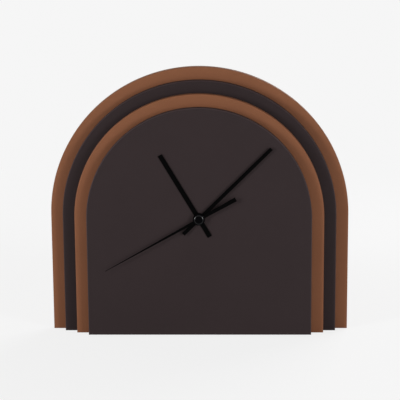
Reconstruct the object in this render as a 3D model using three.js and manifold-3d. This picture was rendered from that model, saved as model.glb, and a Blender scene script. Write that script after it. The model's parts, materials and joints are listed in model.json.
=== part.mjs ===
// Desk clock: four arched boards stacked in steps, with a quartz movement in a window at the back.
// Millimetres. The finished part stands on z = 0 with +Z up, and the dial faces -Y.
import * as THREE from "three";
import { mergeVertices } from "three/addons/utils/BufferGeometryUtils.js";
import Module from "manifold-3d";

const wasm = await Module();
wasm.setup();

// Boards
const boardCount = 4;
const boardThickness = 6;
const rearRadius = 120;
const archStep = 10;
const archCentreHeight = 96;
const edgeRound = 0.75;
const shaftHeight = 96.7;
const windowClearance = 1;
const windowCorner = 4;

// Screws through the boards
const screwRadius = 1.5;
const screwHeadRadius = 3;
const screwHeadHeight = 1.5;
const screwRim = 0.3;
const screwTipLength = 2;
const screwBite = 3;
const screwSink = 0.3;
const screwClearance = 0.3;
const lowerScrewSpread = 62;
const lowerScrewHeight = 24;
const upperScrewSpread = 52;
const upperScrewHeight = 150;

// Hands, measured from the shaft, with angles clockwise from twelve
const handThickness = 0.4;
const secondHandThickness = 0.25;
const hourLength = 60;
const hourTail = 17;
const hourWidth = 3.8;
const hourBossWall = 2.1;
const hourAngle = 329.4;
const minuteLength = 81;
const minuteTail = 17.6;
const minuteWidth = 2.9;
const minuteBossWall = 1.7;
const minuteAngle = 45.3;
const secondLength = 86.5;
const secondTail = 33.8;
const secondTipWidth = 0.4;
const secondHubWidth = 2.4;
const secondTailWidth = 3.5;
const secondBossWall = 0.95;
const secondAngle = 240.6;
const bossLength = 0.55;
const handGap = 0.25;
const capRadius = 3.7;
const capHeight = 1.2;
const capBevelWidth = 1;
const capBevelDepth = 0.65;
const capFlange = 1;
const capFlangeThickness = 0.4;

// Nested tubes and arbors at the shaft
const secondArborRadius = 0.45;
const minuteTubeGap = 0.25;
const minuteTubeWall = 0.9;
const hourTubeWall = 0.75;
const bushWall = 0.95;
const fitGap = 0.1;
const runningGap = 0.15;
const tubeProud = 0.1;

// Washer, nut and gasket
const washerThickness = 0.3;
const nutThickness = 1.2;
const nutWall = 0.8;
const nutSlotWidth = 1.2;
const nutSlotDepth = 0.6;
const nutSeatDepth = 1.5;
const nutSeatClearance = 0.15;
const bushProud = 0.05;
const bushClearance = 0.4;
const gasketThickness = 0.8;
const gasketSize = 44;
const gasketCorner = 4;

// Movement case
const caseWall = 1.2;
const caseCorner = 3;
const postRadius = 1.8;
const pinRadius = 0.8;
const pinGap = 0.15;

// Gear train: wheels, pinions, distances between arbors and their directions from the shaft
const wheelThickness = 0.9;
const levelGap = 0.5;
const pinionOverhang = 0.15;
const plateThickness = 1;
const trainClearance = 0.6;
const hourTeeth = 32;
const transferPinionTeeth = 8;
const transferTeeth = 24;
const minutePinionTeeth = 8;
const centreTeeth = 48;
const thirdPinionTeeth = 6;
const thirdTeeth = 45;
const secondPinionTeeth = 6;
const secondTeeth = 40;
const intermediatePinionTeeth = 8;
const intermediateTeeth = 36;
const rotorPinionTeeth = 6;
const thirdDistance = 10.8;
const intermediateDistance = 9;
const rotorDistance = 7;
const thirdDirection = 35;
const intermediateDirection = 110;
const rotorDirection = 100;
const transferDirection = 180;
const toothTop = 0.85;
const toothRoot = 1.15;
const toothTipShare = 0.1;
const toothRootShare = 0.27;
const pivotRadius = 0.35;
const pivotDepth = 0.8;
const arborRadius = 0.6;
const transferArborRadius = 0.75;

// Stepping motor
const magnetRadius = 2.4;
const magnetThickness = 1.8;
const magnetGap = 0.5;
const statorThickness = 1;
const statorHalfHeight = 4;
const statorHalfWidth = 11;
const statorLegWidth = 4;
const coreThickness = 1;
const coreHeight = 2.6;
const bobbinFlangeRadius = 3;
const bobbinFlangeThickness = 0.8;
const bobbinTubeRadius = 2;
const bobbinGap = 0.3;
const windingRadius = 2.75;

// Setting knob
const knobRadius = 5.5;
const knobHeight = 3.3;
const knobProud = 0.9;
const knobEnd = 1.1;
const knobRibs = 24;
const knobRibDepth = 0.4;
const knobGap = 0.6;

// Battery and its contacts
const batteryDiameter = 14.5;
const batteryLength = 50.5;
const nubRadius = 2.75;
const nubLength = 1.3;
const batteryRound = 0.8;
const batteryGap = 0.3;
const bayClearance = 0.25;
const contactThickness = 0.4;
const contactWidth = 9;
const contactTailWidth = 4;
const springDepth = 1.7;
const contactRise = 4;

// Circuit board
const circuitThickness = 0.8;
const circuitLength = 24;
const circuitSetback = 2.2;
const circuitPostInset = 2.5;
const chipOffset = 8;
const crystalOffset = 12;
const chipRadius = 2;
const chipRim = 0.4;
const chipTopRadius = 1;
const chipHeight = 0.9;
const crystalRadius = 1;
const crystalLength = 6;
const crystalGap = 0.1;

// Fineness of round stretches
const archSegments = 24;
const roundSegments = 24;
const smallSegments = 12;
const smallRadius = 1.7;
const cornerSegments = 2;
const edgeSegments = 2;
const faceTolerance = 0.001;

// Dial frame: x right, y up from the base, z towards the viewer from the front face of the dial board.
const dialBack = -boardThickness;
const boardsBack = -boardCount * boardThickness;

// Radii of the nested tubes, from the second arbor out to the nut
const minuteBoreRadius = secondArborRadius + minuteTubeGap;
const minuteTubeRadius = minuteBoreRadius + minuteTubeWall;
const hourBoreRadius = minuteTubeRadius + runningGap;
const hourTubeRadius = hourBoreRadius + hourTubeWall;
const bushBoreRadius = hourTubeRadius + runningGap;
const bushRadius = bushBoreRadius + bushWall;
const nutBoreRadius = bushRadius + runningGap;
const nutRadius = nutBoreRadius + nutWall;

// Depths from the gasket back through the levels of the train
const caseFront = dialBack - gasketThickness;
const caseInside = caseFront - caseWall;
const hourWheelFront = caseInside - 2 * runningGap;
const transferWheelFront = hourWheelFront - wheelThickness - levelGap;
const centreWheelFront = transferWheelFront - wheelThickness - levelGap;
const plateFront = centreWheelFront - wheelThickness - levelGap;
const plateBack = plateFront - plateThickness;
const thirdWheelFront = plateBack - levelGap;
const secondWheelFront = thirdWheelFront - wheelThickness - levelGap;
const intermediateWheelFront = secondWheelFront - wheelThickness - levelGap;
const intermediateWheelBack = intermediateWheelFront - wheelThickness;
const magnetFront = intermediateWheelBack - levelGap;
const magnetBack = magnetFront - magnetThickness;
const statorFront = (magnetFront + magnetBack + statorThickness) / 2;
const statorBack = statorFront - statorThickness;
const coreFront = statorFront + coreThickness;
const coilDepth = (coreFront + statorFront) / 2;
const trainBack = Math.min(magnetBack, coilDepth - bobbinFlangeRadius) - levelGap;
const batteryDepth = caseInside - batteryGap - batteryDiameter / 2;
const caseBack = Math.min(trainBack - caseWall, batteryDepth - batteryDiameter / 2);
const coverInside = caseBack + caseWall;
const knobBack = caseBack - knobProud;
const knobFront = knobBack + knobHeight;

// Depths of the nut and washer in their seat in the dial board, and of the hands in front of it
const washerBack = -nutSeatDepth;
const nutBack = washerBack + washerThickness;
const nutFront = nutBack + nutThickness;
const bushFront = nutFront + bushProud;
const hourBossBack = bushFront + tubeProud;
const hourFront = hourBossBack + bossLength;
const hourTubeFront = hourFront + tubeProud;
const minuteBossBack = hourTubeFront + handGap;
const minuteFront = minuteBossBack + bossLength + handThickness;
const minuteTubeFront = minuteFront + tubeProud;
const secondBossBack = minuteTubeFront + handGap;
const secondFront = secondBossBack + bossLength + secondHandThickness;
const capFront = secondFront + capHeight;

// A point at a distance and a direction in degrees from another.
function polar(distance, degrees, from = { x: 0, y: 0 }) {
  const angle = THREE.MathUtils.degToRad(degrees);
  return { x: from.x + distance * Math.cos(angle), y: from.y + distance * Math.sin(angle) };
}

// Pitch radius of a toothed ring that meshes with a mate over a distance.
function pitchRadius(teeth, mateTeeth, distance) {
  return (distance * teeth) / (teeth + mateTeeth);
}

// Outer radius of a toothed ring.
function tipRadius(teeth, pitch) {
  return pitch + (toothTop * 2 * pitch) / teeth;
}

// Places of the arbors in the plane of the dial, with the shaft at the origin
const centrePitch = pitchRadius(centreTeeth, thirdPinionTeeth, thirdDistance);
const centreTip = tipRadius(centreTeeth, centrePitch);
const transferDistance = centreTip + transferArborRadius + trainClearance;
const hourPitch = pitchRadius(hourTeeth, transferPinionTeeth, transferDistance);
const transferPitch = pitchRadius(transferTeeth, minutePinionTeeth, transferDistance);
const thirdPitch = pitchRadius(thirdTeeth, secondPinionTeeth, thirdDistance);
const shaftPlace = { x: 0, y: 0 };
const thirdPlace = polar(thirdDistance, thirdDirection);
const transferPlace = polar(transferDistance, transferDirection);
const intermediatePlace = polar(intermediateDistance, intermediateDirection);
const rotorPlace = polar(rotorDistance, rotorDirection, intermediatePlace);
const coilHeight = rotorPlace.y + statorHalfHeight + bobbinFlangeRadius + levelGap;

// Sides of the case, worked out from the train, the coil and the battery
const trainReach = Math.max(
  centreTip,
  tipRadius(hourTeeth, hourPitch),
  tipRadius(transferTeeth, transferPitch),
);
const bayWallTop = -trainReach - trainClearance;
const bayTop = bayWallTop - caseWall;
const bayBottom = bayTop - batteryDiameter - 2 * bayClearance;
const caseBottom = bayBottom - caseWall;
const insideTop = coilHeight + bobbinFlangeRadius + levelGap;
const caseTop = insideTop + caseWall;
const bayLength = batteryLength + 2 * (contactThickness + batteryGap) + springDepth;
const insideHalf = bayLength / 2;
const caseHalf = insideHalf + caseWall;
const postInset = postRadius + trainClearance;
const batteryRight = insideHalf - contactThickness - batteryGap;
const batteryPlace = { x: batteryRight - batteryLength / 2, y: (bayTop + bayBottom) / 2 };

// Place of the circuit board, beside the third wheel
const circuitLeft = thirdPlace.x + tipRadius(thirdTeeth, thirdPitch) + trainClearance;
const circuitRight = insideHalf - contactThickness - batteryGap;
const circuitMiddle = (circuitLeft + circuitRight) / 2;
const circuitBottom = bayWallTop + contactThickness + trainClearance;
const circuitTop = circuitBottom + circuitLength;
const circuitFront = coverInside + circuitSetback;
const circuitBack = circuitFront - circuitThickness;

const paint = (color, roughness, metalness = 0) =>
  new THREE.MeshStandardMaterial({ color, roughness, metalness });
const materials = {
  brown: paint(0x7a5037, 0.55),
  dark: paint(0x352d2c, 0.55),
  black: paint(0x0a0909, 0.4),
  blackMetal: paint(0x151515, 0.35, 0.6),
  steel: paint(0xb8bac0, 0.3, 1),
  brass: paint(0xc9a24a, 0.35, 1),
  copper: paint(0xb0653a, 0.4, 0.8),
  casePlastic: paint(0x1b1b1d, 0.6),
  whitePlastic: paint(0xe6e3da, 0.5),
  rubber: paint(0x262626, 0.9),
  circuit: paint(0x2d5a34, 0.5),
  ferrite: paint(0x3c3a38, 0.7),
  batteryJacket: paint(0x26323c, 0.35, 0.2),
};

// A closed geometry as a solid that can be joined and cut.
function toSolid(geometry) {
  const flat = geometry.index ? geometry.toNonIndexed() : geometry;
  const bare = new THREE.BufferGeometry();
  bare.setAttribute("position", flat.getAttribute("position"));
  const merged = mergeVertices(bare);
  return new wasm.Manifold(
    new wasm.Mesh({
      numProp: 3,
      vertProperties: merged.getAttribute("position").array,
      triVerts: new Uint32Array(merged.index.array),
    }),
  );
}

// A solid back as a geometry.
function toGeometry(solid) {
  const mesh = solid.getMesh();
  const geometry = new THREE.BufferGeometry();
  geometry.setAttribute("position", new THREE.BufferAttribute(mesh.vertProperties, 3));
  geometry.setIndex(new THREE.BufferAttribute(mesh.triVerts, 1));
  return geometry;
}

// Several geometries as one body.
function join(first, ...others) {
  return toGeometry(others.reduce((sum, next) => sum.add(toSolid(next)), toSolid(first)));
}

// A geometry with others cut away from it.
function cut(first, ...others) {
  return toGeometry(others.reduce((rest, next) => rest.subtract(toSolid(next)), toSolid(first)));
}

// A profile of [radius, depth] points turned about the z axis.
function turned(profile, segments = roundSegments) {
  const points = profile.map(([radius, depth]) => new THREE.Vector2(radius, depth));
  return new THREE.LatheGeometry(points, segments).rotateX(Math.PI / 2);
}

// A round rod between two depths.
function rod(radius, back, front, place = shaftPlace) {
  const profile = [[0, back], [radius, back], [radius, front], [0, front]];
  const segments = radius < smallRadius ? smallSegments : roundSegments;
  return turned(profile, segments).translate(place.x, place.y, 0);
}

// A round tube between two depths.
function tube(radius, bore, back, front) {
  return turned([[bore, back], [radius, back], [radius, front], [bore, front], [bore, back]]);
}

// A flat outline between two depths, with both faces exactly on them.
function slab(shape, back, front, curveSegments = cornerSegments) {
  const geometry = new THREE.ExtrudeGeometry(shape, { depth: 1, bevelEnabled: false, curveSegments });
  return geometry.scale(1, 1, front - back).translate(0, 0, back);
}

// An upright rectangle with round corners.
function rectangle(left, bottom, right, top, corner = 0) {
  const shape = new THREE.Shape();
  if (corner === 0) {
    shape.moveTo(left, bottom);
    shape.lineTo(right, bottom);
    shape.lineTo(right, top);
    shape.lineTo(left, top);
    return shape;
  }
  const quarter = Math.PI / 2;
  shape.absarc(right - corner, bottom + corner, corner, -quarter, 0);
  shape.absarc(right - corner, top - corner, corner, 0, quarter);
  shape.absarc(left + corner, top - corner, corner, quarter, 2 * quarter);
  shape.absarc(left + corner, bottom + corner, corner, 2 * quarter, 3 * quarter);
  return shape;
}

// A rectangular block given by its sides.
function block(left, bottom, right, top, back, front) {
  return slab(rectangle(left, bottom, right, top), back, front);
}

// A ring of teeth with straight flanks and one tooth centred on the angle given.
function teethShape(teeth, pitch, angle) {
  const size = (2 * pitch) / teeth;
  const step = (2 * Math.PI) / teeth;
  const corners = [
    [pitch - toothRoot * size, -toothRootShare],
    [pitch + toothTop * size, -toothTipShare],
    [pitch + toothTop * size, toothTipShare],
    [pitch - toothRoot * size, toothRootShare],
  ];
  const points = [];
  for (let tooth = 0; tooth < teeth; tooth += 1) {
    for (const [radius, share] of corners) {
      const turn = angle + (tooth + share) * step;
      points.push(new THREE.Vector2(radius * Math.cos(turn), radius * Math.sin(turn)));
    }
  }
  return new THREE.Shape(points);
}

// Angle from one arbor to another.
function bearing(from, to) {
  return Math.atan2(to.y - from.y, to.x - from.x);
}

// The toothed ring of a meshing pair that has a tooth on the line between the arbors.
function toothedRing(teeth, mateTeeth, from, to, back, front) {
  const distance = Math.hypot(to.x - from.x, to.y - from.y);
  return slab(teethShape(teeth, pitchRadius(teeth, mateTeeth, distance), bearing(from, to)), back, front);
}

// The mate of a toothed ring, with a gap on the same line.
function gappedRing(teeth, mateTeeth, from, to, back, front) {
  const distance = Math.hypot(to.x - from.x, to.y - from.y);
  const angle = bearing(from, to) + Math.PI / teeth;
  return slab(teethShape(teeth, pitchRadius(teeth, mateTeeth, distance), angle), back, front);
}

// A pinion's depths run a little past those of the wheel it drives.
function pinionDepths(wheelFront) {
  return [wheelFront - wheelThickness - pinionOverhang, wheelFront + pinionOverhang];
}

// An outline that is flat below and a half circle above.
function archShape(radius) {
  const shape = new THREE.Shape();
  shape.moveTo(-radius, 0);
  shape.lineTo(radius, 0);
  shape.absarc(0, archCentreHeight, radius, 0, Math.PI);
  return shape;
}

// Puts the flat faces of a geometry exactly on two depths, so that neighbours meet without overlap.
function onFaces(geometry, back, front) {
  const positions = geometry.getAttribute("position");
  for (let i = 0; i < positions.count; i += 1) {
    for (const face of [back, front]) {
      if (Math.abs(positions.getZ(i) - face) < faceTolerance) positions.setZ(i, face);
    }
  }
  return geometry;
}

// A board with rounded edges.
function board(radius, back) {
  const geometry = new THREE.ExtrudeGeometry(archShape(radius), {
    depth: boardThickness - 2 * edgeRound,
    curveSegments: archSegments,
    bevelSize: edgeRound,
    bevelThickness: edgeRound,
    bevelOffset: -edgeRound,
    bevelSegments: edgeSegments,
  });
  return onFaces(geometry.translate(0, 0, back + edgeRound), back, back + boardThickness);
}

// A countersunk screw from its head at the back to its tip, or its hole when grown by a clearance.
function screwSolid(place, clearance, back) {
  const cone = boardsBack + screwSink + screwRim;
  const tip = dialBack + screwBite;
  return turned([
    [0, back],
    [screwHeadRadius + clearance, back],
    [screwHeadRadius + clearance, cone],
    [screwRadius + clearance, cone + screwHeadHeight],
    [screwRadius + clearance, tip - screwTipLength],
    [0, tip + clearance],
  ], smallSegments).translate(place.x, place.y, 0);
}

const screwPlaces = [
  { x: -lowerScrewSpread, y: lowerScrewHeight },
  { x: lowerScrewSpread, y: lowerScrewHeight },
  { x: -upperScrewSpread, y: upperScrewHeight },
  { x: upperScrewSpread, y: upperScrewHeight },
];
const screwHoles = screwPlaces.map((place) => screwSolid(place, screwClearance, 2 * boardsBack));

// Window through the three rear boards that the movement sits in.
function movementWindow() {
  const shape = rectangle(
    -caseHalf - windowClearance,
    shaftHeight + caseBottom - windowClearance,
    caseHalf + windowClearance,
    shaftHeight + caseTop + windowClearance,
    windowCorner,
  );
  return slab(shape, 2 * boardsBack, 0);
}

// The dial board has the shaft hole and the nut's seat, and the boards behind it have the window.
function panel(index) {
  const back = -(index + 1) * boardThickness;
  const radius = rearRadius - (boardCount - 1 - index) * archStep;
  const whole = board(radius, back);
  if (index > 0) return cut(whole, movementWindow(), ...screwHoles);
  const place = { x: 0, y: shaftHeight };
  const shaftHole = rod(bushRadius + bushClearance, 2 * dialBack, boardThickness, place);
  const nutSeat = rod(nutRadius + nutSeatClearance, washerBack, boardThickness, place);
  return cut(whole, shaftHole, nutSeat, ...screwHoles);
}

// Rubber pad between the case and the dial board.
function gasket() {
  const half = gasketSize / 2;
  const middle = (caseTop + caseBottom) / 2;
  const shape = rectangle(-half, middle - half, half, middle + half, gasketCorner);
  const hole = rod(bushRadius + bushClearance, 2 * caseFront, 0);
  return cut(slab(shape, caseFront, dialBack), hole);
}

function washer() {
  return tube(nutRadius, nutBoreRadius, washerBack, nutBack);
}

// Round nut with two slots for a pin spanner.
function nut() {
  const ring = tube(nutRadius, nutBoreRadius, nutBack, nutFront);
  const half = nutSlotWidth / 2;
  const [slotBack, slotFront] = [nutFront - nutSlotDepth, nutFront + nutSlotDepth];
  const slot = block(-2 * nutRadius, -half, 2 * nutRadius, half, slotBack, slotFront);
  return cut(ring, slot);
}

// Posts in the four corners of the gear cavity
const cornerPosts = [
  { x: -insideHalf + postInset, y: bayWallTop + postInset },
  { x: insideHalf - postInset, y: bayWallTop + postInset },
  { x: -insideHalf + postInset, y: insideTop - postInset },
  { x: insideHalf - postInset, y: insideTop - postInset },
];

// A post with a pin on its end, or the hole that takes the pin.
function pinnedPost(place, base, shoulder, end) {
  return [rod(postRadius, shoulder, base, place), rod(pinRadius, end, shoulder, place)];
}
function pinHole(place, back, front) {
  return rod(pinRadius + pinGap, back - plateThickness, front + plateThickness, place);
}

// Slot in the bay's top wall for the tail of a battery contact.
function contactSlot(side) {
  const inner = insideHalf - contactThickness - pinGap;
  const [left, right] = side > 0 ? [inner, insideHalf] : [-insideHalf, -inner];
  const half = contactTailWidth / 2 + pinGap;
  const [back, front] = [circuitFront - half, circuitFront + half];
  return block(left, bayTop - caseWall, right, bayWallTop + caseWall, back, front);
}

// Outline of the case and its cover.
function caseOutline() {
  return rectangle(-caseHalf, caseBottom, caseHalf, caseTop, caseCorner);
}

// Front shell of the movement, with the threaded bush, the corner posts and the battery bay.
function movementCase() {
  const shell = slab(caseOutline(), caseBack, caseFront);
  const cavity = block(-insideHalf, bayWallTop, insideHalf, insideTop, 2 * caseBack, caseInside);
  const bay = block(-insideHalf, bayBottom, insideHalf, bayTop, 2 * caseBack, caseInside);
  const coverSeat = block(-2 * caseHalf, bayTop, 2 * caseHalf, 2 * caseTop, 2 * caseBack, coverInside);
  const open = cut(shell, cavity, bay, coverSeat, contactSlot(1), contactSlot(-1));
  const posts = cornerPosts.flatMap((place) => pinnedPost(place, caseInside, plateFront, plateBack));
  const bush = rod(bushRadius, caseInside, bushFront);
  const bore = rod(bushBoreRadius, 2 * caseInside, bushFront + boardThickness);
  const pivots = [
    rod(pivotRadius + runningGap, 2 * caseInside, caseInside + pivotDepth, thirdPlace),
    rod(transferArborRadius + runningGap, 2 * caseInside, caseInside + pivotDepth, transferPlace),
  ];
  return cut(join(open, bush, ...posts), bore, ...pivots);
}

// Posts for the stator and the circuit board
const statorPosts = [-1, 1].map((side) => ({
  x: rotorPlace.x + side * (statorHalfWidth - statorLegWidth / 2),
  y: coilHeight,
}));
const circuitPosts = [
  { x: circuitMiddle, y: circuitBottom + circuitPostInset },
  { x: circuitMiddle, y: circuitTop - circuitPostInset },
];

// Middle plate that the arbors pass through, with posts to the rear.
function gearPlate() {
  const edge = trainClearance / 2;
  const outline = rectangle(
    -insideHalf + edge,
    bayWallTop + edge,
    insideHalf - edge,
    insideTop - edge,
  );
  const posts = [
    ...statorPosts.flatMap((place) => pinnedPost(place, plateBack, coreFront, statorBack)),
    ...circuitPosts.flatMap((place) => pinnedPost(place, plateBack, circuitFront, circuitBack)),
  ];
  const through = [
    [minuteTubeRadius, shaftPlace],
    [arborRadius, thirdPlace],
    [transferArborRadius, transferPlace],
    [pivotRadius, intermediatePlace],
    [pivotRadius, rotorPlace],
  ].map(([radius, place]) => rod(radius + runningGap, 2 * plateBack, 0, place));
  const pins = cornerPosts.map((place) => pinHole(place, plateBack, plateFront));
  return join(cut(slab(outline, plateBack, plateFront), ...through, ...pins), ...posts);
}

// Rear cover with a well for the knob and a blind bearing for each arbor.
function movementCover() {
  const below = block(-2 * caseHalf, 2 * caseBottom, 2 * caseHalf, bayTop + runningGap, 2 * caseBack, 0);
  const outline = cut(slab(caseOutline(), caseBack, coverInside), below);
  const wellFloor = knobFront + runningGap;
  const wellRadius = knobRadius + knobGap;
  const cup = rod(wellRadius + caseWall, caseBack, wellFloor + caseWall, transferPlace);
  const well = rod(wellRadius, 2 * caseBack, wellFloor, transferPlace);
  const knobHole = rod(transferArborRadius + runningGap, 2 * caseBack, 0, transferPlace);
  const bearings = [
    [secondArborRadius, shaftPlace],
    [pivotRadius, thirdPlace],
    [pivotRadius, intermediatePlace],
    [pivotRadius, rotorPlace],
  ].map(([radius, place]) => rod(radius + runningGap, coverInside - pivotDepth - runningGap, 0, place));
  return cut(join(outline, cup), well, knobHole, ...bearings);
}

// Hour wheel with the tube that carries the hour hand.
function hourWheel() {
  const back = hourWheelFront - wheelThickness;
  const ring = toothedRing(hourTeeth, transferPinionTeeth, shaftPlace, transferPlace, back, hourWheelFront);
  const stem = rod(hourTubeRadius, back, hourTubeFront);
  return cut(join(ring, stem), rod(hourBoreRadius, 2 * back, hourTubeFront + boardThickness));
}

// Tube that carries the minute hand, with the pinion of the motion work.
function minuteArbor() {
  const [back, front] = pinionDepths(transferWheelFront);
  const pinion = gappedRing(minutePinionTeeth, transferTeeth, shaftPlace, transferPlace, back, front);
  const stem = rod(minuteTubeRadius, plateBack + runningGap, minuteTubeFront);
  return cut(join(pinion, stem), rod(minuteBoreRadius, 2 * plateBack, minuteTubeFront + boardThickness));
}

// Centre wheel, a friction fit on the minute arbor.
function centreWheel() {
  const back = centreWheelFront - wheelThickness;
  const ring = toothedRing(centreTeeth, thirdPinionTeeth, shaftPlace, thirdPlace, back, centreWheelFront);
  return cut(ring, rod(minuteTubeRadius + fitGap, 2 * back, 0));
}

// Rear end of an arbor in its blind bearing in the cover.
const pivotEnd = coverInside - pivotDepth;

// Second wheel on the arbor that carries the second hand.
function secondWheel() {
  const back = secondWheelFront - wheelThickness;
  const front = secondWheelFront;
  const [, pinionFront] = pinionDepths(thirdWheelFront);
  return join(
    toothedRing(secondTeeth, intermediatePinionTeeth, shaftPlace, intermediatePlace, back, front),
    gappedRing(secondPinionTeeth, thirdTeeth, shaftPlace, thirdPlace, front, pinionFront),
    rod(secondArborRadius, pivotEnd, secondFront - secondHandThickness / 2),
  );
}

// Third wheel behind the plate and its pinion in front of it.
function thirdWheel() {
  const back = thirdWheelFront - wheelThickness;
  const [pinionBack, pinionFront] = pinionDepths(centreWheelFront);
  return join(
    toothedRing(thirdTeeth, secondPinionTeeth, thirdPlace, shaftPlace, back, thirdWheelFront),
    gappedRing(thirdPinionTeeth, centreTeeth, thirdPlace, shaftPlace, pinionBack, pinionFront),
    rod(arborRadius, back, pinionFront),
    rod(pivotRadius, pivotEnd, caseInside + pivotDepth - runningGap),
  );
}

// Intermediate wheel between the rotor and the second wheel.
function intermediateWheel() {
  const back = intermediateWheelBack;
  const front = intermediateWheelFront;
  const [, pinionFront] = pinionDepths(secondWheelFront);
  return join(
    toothedRing(intermediateTeeth, rotorPinionTeeth, intermediatePlace, rotorPlace, back, front),
    gappedRing(intermediatePinionTeeth, secondTeeth, intermediatePlace, shaftPlace, front, pinionFront),
    rod(pivotRadius, pivotEnd, plateBack + plateThickness / 2),
  );
}

// Rotor: a round magnet with a pinion.
function rotor() {
  const [, pinionFront] = pinionDepths(intermediateWheelFront);
  return join(
    gappedRing(rotorPinionTeeth, intermediateTeeth, rotorPlace, intermediatePlace, magnetFront, pinionFront),
    rod(magnetRadius, magnetBack, magnetFront),
    rod(pivotRadius, pivotEnd, plateBack + plateThickness / 2),
  );
}

// Transfer wheel and pinion on the arbor that the setting knob turns.
function transferWheel() {
  const back = transferWheelFront - wheelThickness;
  const [, pinionFront] = pinionDepths(hourWheelFront);
  return join(
    toothedRing(transferTeeth, minutePinionTeeth, transferPlace, shaftPlace, back, transferWheelFront),
    gappedRing(transferPinionTeeth, hourTeeth, transferPlace, shaftPlace, transferWheelFront, pinionFront),
    rod(transferArborRadius, knobBack + knobEnd, caseInside + pivotDepth - runningGap),
  );
}

// Knob with ribs round its rim and a blind bore for the arbor.
function settingKnob() {
  const points = [];
  for (let i = 0; i < 2 * knobRibs; i += 1) {
    const radius = knobRadius - (i % 2) * knobRibDepth;
    const angle = (Math.PI * i) / knobRibs;
    points.push(new THREE.Vector2(radius * Math.cos(angle), radius * Math.sin(angle)));
  }
  const body = slab(new THREE.Shape(points), knobBack, knobFront);
  return cut(body, rod(transferArborRadius + fitGap, knobBack + knobEnd - fitGap, 0));
}

// Flat yoke round the rotor, with a leg up to each end of the coil.
function stator() {
  const bottom = -statorHalfHeight;
  const top = coilHeight - rotorPlace.y + coreHeight / 2;
  const inner = statorHalfWidth - statorLegWidth;
  const shape = new THREE.Shape();
  shape.moveTo(-statorHalfWidth, bottom);
  shape.lineTo(statorHalfWidth, bottom);
  shape.lineTo(statorHalfWidth, top);
  shape.lineTo(inner, top);
  shape.lineTo(inner, statorHalfHeight);
  shape.lineTo(-inner, statorHalfHeight);
  shape.lineTo(-inner, top);
  shape.lineTo(-statorHalfWidth, top);
  const yoke = slab(shape, statorBack, statorFront).translate(rotorPlace.x, rotorPlace.y, 0);
  const hole = rod(magnetRadius + magnetGap, 2 * statorBack, 0, rotorPlace);
  return cut(yoke, hole, ...statorPosts.map((place) => pinHole(place, statorBack, statorFront)));
}

// Flat core that runs through the coil from one leg of the yoke to the other.
function coilCore() {
  const half = coreHeight / 2;
  const left = rotorPlace.x - statorHalfWidth;
  const right = rotorPlace.x + statorHalfWidth;
  const bar = block(left, coilHeight - half, right, coilHeight + half, statorFront, coreFront);
  return cut(bar, ...statorPosts.map((place) => pinHole(place, statorFront, coreFront)));
}

// Half the length of the bobbin, between the posts under the yoke's legs.
const bobbinHalf = statorHalfWidth - statorLegWidth / 2 - postRadius - bobbinGap;

// A turned piece laid along x at the middle of the coil.
function alongCoil(profile) {
  return turned(profile).rotateY(Math.PI / 2).translate(rotorPlace.x, coilHeight, coilDepth);
}

function coilBobbin() {
  const inner = bobbinHalf - bobbinFlangeThickness;
  const spool = alongCoil([
    [0, -bobbinHalf],
    [bobbinFlangeRadius, -bobbinHalf],
    [bobbinFlangeRadius, -inner],
    [bobbinTubeRadius, -inner],
    [bobbinTubeRadius, inner],
    [bobbinFlangeRadius, inner],
    [bobbinFlangeRadius, bobbinHalf],
    [0, bobbinHalf],
  ]);
  const half = coreHeight / 2 + runningGap;
  const slot = block(
    rotorPlace.x - 2 * bobbinHalf,
    coilHeight - half,
    rotorPlace.x + 2 * bobbinHalf,
    coilHeight + half,
    statorFront - runningGap,
    coreFront + runningGap,
  );
  return cut(spool, slot);
}

function coilWinding() {
  const half = bobbinHalf - bobbinFlangeThickness - fitGap;
  const bore = bobbinTubeRadius + fitGap;
  const outer = windingRadius;
  return alongCoil([[bore, -half], [outer, -half], [outer, half], [bore, half], [bore, -half]]);
}

// Circuit board on the two posts beside the third wheel.
function circuitBoard() {
  const outline = block(circuitLeft, circuitBottom, circuitRight, circuitTop, circuitBack, circuitFront);
  return cut(outline, ...circuitPosts.map((place) => pinHole(place, circuitBack, circuitFront)));
}

// Low dome over the chip, on the front of the circuit board.
function circuitChip() {
  const top = circuitFront + chipHeight;
  return turned([
    [0, circuitFront],
    [chipRadius, circuitFront],
    [chipRadius, circuitFront + chipRim],
    [chipTopRadius, top],
    [0, top],
  ], smallSegments).translate(circuitMiddle, circuitBottom + chipOffset, 0);
}

// Round crystal can lying along the circuit board.
function quartzCrystal() {
  const start = circuitBottom + crystalOffset;
  return rod(crystalRadius, 0, crystalLength)
    .rotateX(-Math.PI / 2)
    .translate(circuitMiddle, start, circuitFront + crystalRadius + crystalGap);
}

// Battery lying along x, with its nub to the right.
function batteryCell() {
  const half = batteryLength / 2;
  const radius = batteryDiameter / 2;
  const shoulder = half - nubLength;
  return turned([
    [0, -half],
    [radius - batteryRound, -half],
    [radius, -half + batteryRound],
    [radius, shoulder - batteryRound],
    [radius - batteryRound, shoulder],
    [nubRadius, shoulder],
    [nubRadius, half],
    [0, half],
  ])
    .rotateY(Math.PI / 2)
    .translate(batteryPlace.x, batteryPlace.y, batteryDepth);
}

// Upright end plate of a contact with a tail up through the bay's top wall.
function contactPlate(left, right) {
  const half = contactWidth / 2;
  const tail = contactTailWidth / 2;
  const middle = batteryPlace.y;
  return [
    block(left, middle - half, right, bayTop - batteryGap, batteryDepth - half, batteryDepth + half),
    block(left, middle, right, bayWallTop + contactRise, circuitFront - tail, circuitFront + tail),
  ];
}

function positiveContact() {
  return join(...contactPlate(insideHalf - contactThickness, insideHalf));
}

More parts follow.
